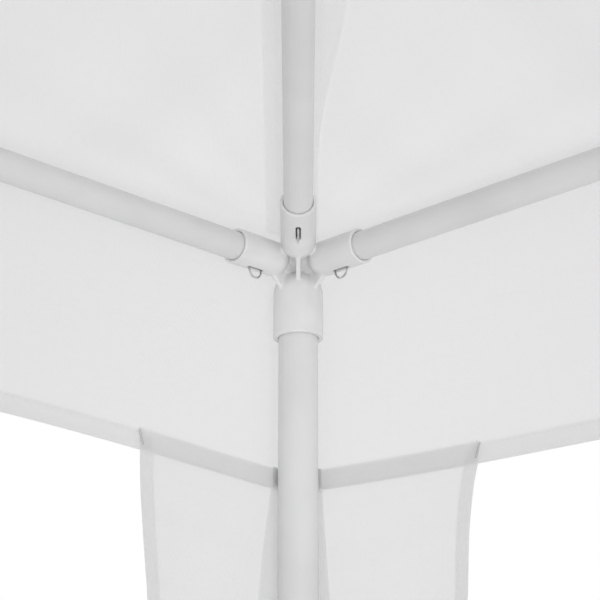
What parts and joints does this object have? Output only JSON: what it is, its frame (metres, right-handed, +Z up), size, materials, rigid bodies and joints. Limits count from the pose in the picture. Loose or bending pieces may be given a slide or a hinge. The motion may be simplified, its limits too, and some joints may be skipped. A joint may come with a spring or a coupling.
{
  "type": "push-fit gazebo",
  "caption": "Square garden gazebo of white push-fit steel tubes in moulded corners, with a pyramid sheet roof, valance and narrow corner drapes.",
  "frame": {"origin": "on the ground, midway between the four legs and under the crown", "axes": "+Z up, front towards -Y, the two eave directions along X and Y"},
  "size_m": [3.056, 3.056, 2.5635],
  "materials": {
    "tube_white": "satin white powder coat",
    "foot_white": "satin white powder coat",
    "connector_white": "fine satin moulding",
    "spring_wire": "bright drawn wire",
    "sheet_white": "translucent woven sheet"
  },
  "bodies": {
    "frame": {"crown_connector": "connector_white", "valance": "sheet_white", "corner_connector_front_left": "connector_white", "corner_connector_front_right": "connector_white", "corner_connector_back_right": "connector_white", "corner_connector_back_left": "connector_white", "lower_rafter_front_left": "tube_white", "lower_rafter_front_right": "tube_white", "lower_rafter_back_right": "tube_white", "lower_rafter_back_left": "tube_white", "upper_rafter_front_left": "tube_white", "upper_rafter_front_right": "tube_white", "upper_rafter_back_right": "tube_white", "upper_rafter_back_left": "tube_white", "corner_drape_front_left": "sheet_white", "corner_drape_front_right": "sheet_white", "corner_drape_back_right": "sheet_white", "corner_drape_back_left": "sheet_white", "plain_eave_front": "tube_white", "plain_eave_right": "tube_white", "plain_eave_back": "tube_white", "plain_eave_left": "tube_white", "swaged_eave_front": "tube_white", "swaged_eave_right": "tube_white", "swaged_eave_back": "tube_white", "swaged_eave_left": "tube_white", "roof_panel_front": "sheet_white", "roof_panel_right": "sheet_white", "roof_panel_back": "sheet_white", "roof_panel_left": "sheet_white"},
    "upper_leg_front_left": {"upper_leg_front_left": "tube_white"},
    "lower_leg_front_left": {"lower_leg_front_left": "tube_white", "foot_front_left": "foot_white"},
    "upper_leg_front_right": {"upper_leg_front_right": "tube_white"},
    "lower_leg_front_right": {"lower_leg_front_right": "tube_white", "foot_front_right": "foot_white"},
    "upper_leg_back_right": {"upper_leg_back_right": "tube_white"},
    "lower_leg_back_right": {"lower_leg_back_right": "tube_white", "foot_back_right": "foot_white"},
    "upper_leg_back_left": {"upper_leg_back_left": "tube_white"},
    "lower_leg_back_left": {"lower_leg_back_left": "tube_white", "foot_back_left": "foot_white"},
    "plain_eave_clip_front": {"plain_eave_clip_front": "spring_wire"},
    "swaged_eave_clip_front": {"swaged_eave_clip_front": "spring_wire"},
    "plain_eave_clip_right": {"plain_eave_clip_right": "spring_wire"},
    "swaged_eave_clip_right": {"swaged_eave_clip_right": "spring_wire"},
    "plain_eave_clip_back": {"plain_eave_clip_back": "spring_wire"},
    "swaged_eave_clip_back": {"swaged_eave_clip_back": "spring_wire"},
    "plain_eave_clip_left": {"plain_eave_clip_left": "spring_wire"},
    "swaged_eave_clip_left": {"swaged_eave_clip_left": "spring_wire"},
    "rafter_clip_front_left": {"rafter_clip_front_left": "spring_wire"},
    "crown_clip_front_left": {"crown_clip_front_left": "spring_wire"},
    "rafter_clip_front_right": {"rafter_clip_front_right": "spring_wire"},
    "crown_clip_front_right": {"crown_clip_front_right": "spring_wire"},
    "rafter_clip_back_right": {"rafter_clip_back_right": "spring_wire"},
    "crown_clip_back_right": {"crown_clip_back_right": "spring_wire"},
    "rafter_clip_back_left": {"rafter_clip_back_left": "spring_wire"},
    "crown_clip_back_left": {"crown_clip_back_left": "spring_wire"}
  },
  "joints": [
    {"name": "leg_pull_front_left", "type": "slide", "parent": "frame", "child": "upper_leg_front_left", "axis": [0, 0, -1], "range_m": [0, 0.029]},
    {"name": "leg_part_front_left", "type": "slide", "parent": "upper_leg_front_left", "child": "lower_leg_front_left", "axis": [0, 0, -1], "range_m": [0, 0.05]},
    {"name": "leg_pull_front_right", "type": "slide", "parent": "frame", "child": "upper_leg_front_right", "axis": [0, 0, -1], "range_m": [0, 0.029]},
    {"name": "leg_part_front_right", "type": "slide", "parent": "upper_leg_front_right", "child": "lower_leg_front_right", "axis": [0, 0, -1], "range_m": [0, 0.05]},
    {"name": "leg_pull_back_right", "type": "slide", "parent": "frame", "child": "upper_leg_back_right", "axis": [0, 0, -1], "range_m": [0, 0.029]},
    {"name": "leg_part_back_right", "type": "slide", "parent": "upper_leg_back_right", "child": "lower_leg_back_right", "axis": [0, 0, -1], "range_m": [0, 0.05]},
    {"name": "leg_pull_back_left", "type": "slide", "parent": "frame", "child": "upper_leg_back_left", "axis": [0, 0, -1], "range_m": [0, 0.029]},
    {"name": "leg_part_back_left", "type": "slide", "parent": "upper_leg_back_left", "child": "lower_leg_back_left", "axis": [0, 0, -1], "range_m": [0, 0.05]},
    {"name": "press_plain_eave_clip_front", "type": "slide", "parent": "frame", "child": "plain_eave_clip_front", "axis": [0, 0, 1], "range_m": [0, 0.0082], "stiffness_N_per_m": 1500},
    {"name": "press_swaged_eave_clip_front", "type": "slide", "parent": "frame", "child": "swaged_eave_clip_front", "axis": [0, 0, 1], "range_m": [0, 0.0082], "stiffness_N_per_m": 1500},
    {"name": "press_plain_eave_clip_right", "type": "slide", "parent": "frame", "child": "plain_eave_clip_right", "axis": [0, 0, 1], "range_m": [0, 0.0082], "stiffness_N_per_m": 1500},
    {"name": "press_swaged_eave_clip_right", "type": "slide", "parent": "frame", "child": "swaged_eave_clip_right", "axis": [0, 0, 1], "range_m": [0, 0.0082], "stiffness_N_per_m": 1500},
    {"name": "press_plain_eave_clip_back", "type": "slide", "parent": "frame", "child": "plain_eave_clip_back", "axis": [0, 0, 1], "range_m": [0, 0.0082], "stiffness_N_per_m": 1500},
    {"name": "press_swaged_eave_clip_back", "type": "slide", "parent": "frame", "child": "swaged_eave_clip_back", "axis": [0, 0, 1], "range_m": [0, 0.0082], "stiffness_N_per_m": 1500},
    {"name": "press_plain_eave_clip_left", "type": "slide", "parent": "frame", "child": "plain_eave_clip_left", "axis": [0, 0, 1], "range_m": [0, 0.0082], "stiffness_N_per_m": 1500},
    {"name": "press_swaged_eave_clip_left", "type": "slide", "parent": "frame", "child": "swaged_eave_clip_left", "axis": [0, 0, 1], "range_m": [0, 0.0082], "stiffness_N_per_m": 1500},
    {"name": "press_rafter_clip_front_left", "type": "slide", "parent": "frame", "child": "rafter_clip_front_left", "axis": [-0.1945, -0.1945, 0.9614], "range_m": [0, 0.0082], "stiffness_N_per_m": 1500},
    {"name": "press_crown_clip_front_left", "type": "slide", "parent": "frame", "child": "crown_clip_front_left", "axis": [-0.1945, -0.1945, 0.9614], "range_m": [0, 0.0082], "stiffness_N_per_m": 1500},
    {"name": "press_rafter_clip_front_right", "type": "slide", "parent": "frame", "child": "rafter_clip_front_right", "axis": [0.1945, -0.1945, 0.9614], "range_m": [0, 0.0082], "stiffness_N_per_m": 1500},
    {"name": "press_crown_clip_front_right", "type": "slide", "parent": "frame", "child": "crown_clip_front_right", "axis": [0.1945, -0.1945, 0.9614], "range_m": [0, 0.0082], "stiffness_N_per_m": 1500},
    {"name": "press_rafter_clip_back_right", "type": "slide", "parent": "frame", "child": "rafter_clip_back_right", "axis": [0.1945, 0.1945, 0.9614], "range_m": [0, 0.0082], "stiffness_N_per_m": 1500},
    {"name": "press_crown_clip_back_right", "type": "slide", "parent": "frame", "child": "crown_clip_back_right", "axis": [0.1945, 0.1945, 0.9614], "range_m": [0, 0.0082], "stiffness_N_per_m": 1500},
    {"name": "press_rafter_clip_back_left", "type": "slide", "parent": "frame", "child": "rafter_clip_back_left", "axis": [-0.1945, 0.1945, 0.9614], "range_m": [0, 0.0082], "stiffness_N_per_m": 1500},
    {"name": "press_crown_clip_back_left", "type": "slide", "parent": "frame", "child": "crown_clip_back_left", "axis": [-0.1945, 0.1945, 0.9614], "range_m": [0, 0.0082], "stiffness_N_per_m": 1500}
  ]
}
